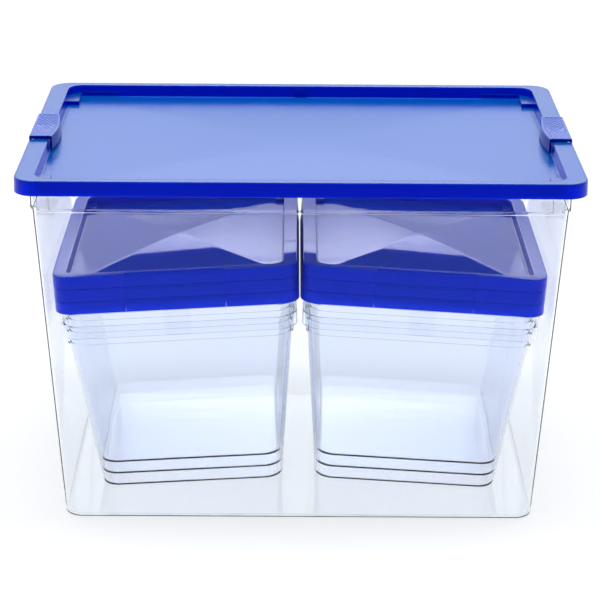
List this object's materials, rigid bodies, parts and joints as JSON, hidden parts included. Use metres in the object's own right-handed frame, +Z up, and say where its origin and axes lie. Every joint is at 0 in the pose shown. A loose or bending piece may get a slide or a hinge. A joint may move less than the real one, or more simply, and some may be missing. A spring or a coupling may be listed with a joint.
{
  "type": "lidded storage box",
  "caption": "Tall clear storage tub with a clip-on blue lid and end latches, holding stacks of small nesting bins and their stacked lids.",
  "frame": {"origin": "under the middle of the tub, on the surface it stands on", "axes": "+X along the long side, +Y from the front long side to the back one, +Z up"},
  "size_m": [0.6008, 0.4008, 0.4036],
  "materials": {
    "clear_tub": "clear, polished",
    "clear_bin": "clear, polished",
    "blue_lid": "see-through blue, glossy",
    "blue_latch": "see-through blue, ribbed grip",
    "blue_small_lid": "see-through blue, glossy",
    "blue_flap": "see-through blue, glossy"
  },
  "bodies": {
    "tub": {"tub": "clear_tub"},
    "lid": {"lid": "blue_lid"},
    "left_latch": {"left_latch": "blue_latch"},
    "right_latch": {"right_latch": "blue_latch"},
    "left_bin_1": {"left_bin_1": "clear_bin"},
    "left_bin_2": {"left_bin_2": "clear_bin"},
    "left_bin_3": {"left_bin_3": "clear_bin"},
    "left_bin_lid_1": {"left_bin_lid_1": "blue_small_lid"},
    "left_lid_1_back_flap": {"left_lid_1_back_flap": "blue_flap"},
    "left_lid_1_front_flap": {"left_lid_1_front_flap": "blue_flap"},
    "left_bin_lid_2": {"left_bin_lid_2": "blue_small_lid"},
    "left_lid_2_back_flap": {"left_lid_2_back_flap": "blue_flap"},
    "left_lid_2_front_flap": {"left_lid_2_front_flap": "blue_flap"},
    "left_bin_lid_3": {"left_bin_lid_3": "blue_small_lid"},
    "left_lid_3_back_flap": {"left_lid_3_back_flap": "blue_flap"},
    "left_lid_3_front_flap": {"left_lid_3_front_flap": "blue_flap"},
    "right_bin_1": {"right_bin_1": "clear_bin"},
    "right_bin_2": {"right_bin_2": "clear_bin"},
    "right_bin_3": {"right_bin_3": "clear_bin"},
    "right_bin_lid_1": {"right_bin_lid_1": "blue_small_lid"},
    "right_lid_1_back_flap": {"right_lid_1_back_flap": "blue_flap"},
    "right_lid_1_front_flap": {"right_lid_1_front_flap": "blue_flap"},
    "right_bin_lid_2": {"right_bin_lid_2": "blue_small_lid"},
    "right_lid_2_back_flap": {"right_lid_2_back_flap": "blue_flap"},
    "right_lid_2_front_flap": {"right_lid_2_front_flap": "blue_flap"},
    "right_bin_lid_3": {"right_bin_lid_3": "blue_small_lid"},
    "right_lid_3_back_flap": {"right_lid_3_back_flap": "blue_flap"},
    "right_lid_3_front_flap": {"right_lid_3_front_flap": "blue_flap"}
  },
  "joints": [
    {"name": "lid_lift", "type": "slide", "parent": "tub", "child": "lid", "axis": [0, 0, 1], "range_m": [0, 0.35]},
    {"name": "left_latch_hinge", "type": "hinge", "parent": "lid", "child": "left_latch", "pos_m": [-0.2744, 0, 0.3896], "axis": [0, 1, 0], "range_deg": [0, 35]},
    {"name": "right_latch_hinge", "type": "hinge", "parent": "lid", "child": "right_latch", "pos_m": [0.2744, 0, 0.3896], "axis": [0, -1, 0], "range_deg": [0, 35]},
    {"name": "left_bin_1_lift", "type": "slide", "parent": "tub", "child": "left_bin_1", "axis": [-0.061, 0, 0.9981], "range_m": [0, 0.09]},
    {"name": "left_bin_2_lift", "type": "slide", "parent": "left_bin_1", "child": "left_bin_2", "axis": [-0.061, 0, 0.9981], "range_m": [0, 0.09]},
    {"name": "left_bin_3_lift", "type": "slide", "parent": "left_bin_2", "child": "left_bin_3", "axis": [-0.061, 0, 0.9981], "range_m": [0, 0.09]},
    {"name": "left_bin_lid_1_lift", "type": "slide", "parent": "left_bin_3", "child": "left_bin_lid_1", "axis": [-0.061, 0, 0.9981], "range_m": [0, 0.03]},
    {"name": "left_lid_1_back_flap_hinge", "type": "hinge", "parent": "left_bin_lid_1", "child": "left_lid_1_back_flap", "pos_m": [-0.13579, 0.1667, 0.24424], "axis": [0.9981, 0, 0.061], "range_deg": [0, 12]},
    {"name": "left_lid_1_front_flap_hinge", "type": "hinge", "parent": "left_bin_lid_1", "child": "left_lid_1_front_flap", "pos_m": [-0.13579, -0.1297, 0.24424], "axis": [-0.9981, 0, -0.061], "range_deg": [0, 12]},
    {"name": "left_bin_lid_2_lift", "type": "slide", "parent": "left_bin_lid_1", "child": "left_bin_lid_2", "axis": [-0.061, 0, 0.9981], "range_m": [0, 0.03]},
    {"name": "left_lid_2_back_flap_hinge", "type": "hinge", "parent": "left_bin_lid_2", "child": "left_lid_2_back_flap", "pos_m": [-0.13668, 0.1667, 0.25881], "axis": [0.9981, 0, 0.061], "range_deg": [0, 12]},
    {"name": "left_lid_2_front_flap_hinge", "type": "hinge", "parent": "left_bin_lid_2", "child": "left_lid_2_front_flap", "pos_m": [-0.13668, -0.1297, 0.25881], "axis": [-0.9981, 0, -0.061], "range_deg": [0, 12]},
    {"name": "left_bin_lid_3_lift", "type": "slide", "parent": "left_bin_lid_2", "child": "left_bin_lid_3", "axis": [-0.061, 0, 0.9981], "range_m": [0, 0.03]},
    {"name": "left_lid_3_back_flap_hinge", "type": "hinge", "parent": "left_bin_lid_3", "child": "left_lid_3_back_flap", "pos_m": [-0.13757, 0.1667, 0.27338], "axis": [0.9981, 0, 0.061], "range_deg": [0, 12]},
    {"name": "left_lid_3_front_flap_hinge", "type": "hinge", "parent": "left_bin_lid_3", "child": "left_lid_3_front_flap", "pos_m": [-0.13757, -0.1297, 0.27338], "axis": [-0.9981, 0, -0.061], "range_deg": [0, 12]},
    {"name": "right_bin_1_lift", "type": "slide", "parent": "tub", "child": "right_bin_1", "axis": [0.061, 0, 0.9981], "range_m": [0, 0.09]},
    {"name": "right_bin_2_lift", "type": "slide", "parent": "right_bin_1", "child": "right_bin_2", "axis": [0.061, 0, 0.9981], "range_m": [0, 0.09]},
    {"name": "right_bin_3_lift", "type": "slide", "parent": "right_bin_2", "child": "right_bin_3", "axis": [0.061, 0, 0.9981], "range_m": [0, 0.09]},
    {"name": "right_bin_lid_1_lift", "type": "slide", "parent": "right_bin_3", "child": "right_bin_lid_1", "axis": [0.061, 0, 0.9981], "range_m": [0, 0.03]},
    {"name": "right_lid_1_back_flap_hinge", "type": "hinge", "parent": "right_bin_lid_1", "child": "right_lid_1_back_flap", "pos_m": [0.13579, 0.1667, 0.24424], "axis": [0.9981, 0, -0.061], "range_deg": [0, 12]},
    {"name": "right_lid_1_front_flap_hinge", "type": "hinge", "parent": "right_bin_lid_1", "child": "right_lid_1_front_flap", "pos_m": [0.13579, -0.1297, 0.24424], "axis": [-0.9981, 0, 0.061], "range_deg": [0, 12]},
    {"name": "right_bin_lid_2_lift", "type": "slide", "parent": "right_bin_lid_1", "child": "right_bin_lid_2", "axis": [0.061, 0, 0.9981], "range_m": [0, 0.03]},
    {"name": "right_lid_2_back_flap_hinge", "type": "hinge", "parent": "right_bin_lid_2", "child": "right_lid_2_back_flap", "pos_m": [0.13668, 0.1667, 0.25881], "axis": [0.9981, 0, -0.061], "range_deg": [0, 12]},
    {"name": "right_lid_2_front_flap_hinge", "type": "hinge", "parent": "right_bin_lid_2", "child": "right_lid_2_front_flap", "pos_m": [0.13668, -0.1297, 0.25881], "axis": [-0.9981, 0, 0.061], "range_deg": [0, 12]},
    {"name": "right_bin_lid_3_lift", "type": "slide", "parent": "right_bin_lid_2", "child": "right_bin_lid_3", "axis": [0.061, 0, 0.9981], "range_m": [0, 0.03]},
    {"name": "right_lid_3_back_flap_hinge", "type": "hinge", "parent": "right_bin_lid_3", "child": "right_lid_3_back_flap", "pos_m": [0.13757, 0.1667, 0.27338], "axis": [0.9981, 0, -0.061], "range_deg": [0, 12]},
    {"name": "right_lid_3_front_flap_hinge", "type": "hinge", "parent": "right_bin_lid_3", "child": "right_lid_3_front_flap", "pos_m": [0.13757, -0.1297, 0.27338], "axis": [-0.9981, 0, 0.061], "range_deg": [0, 12]}
  ]
}
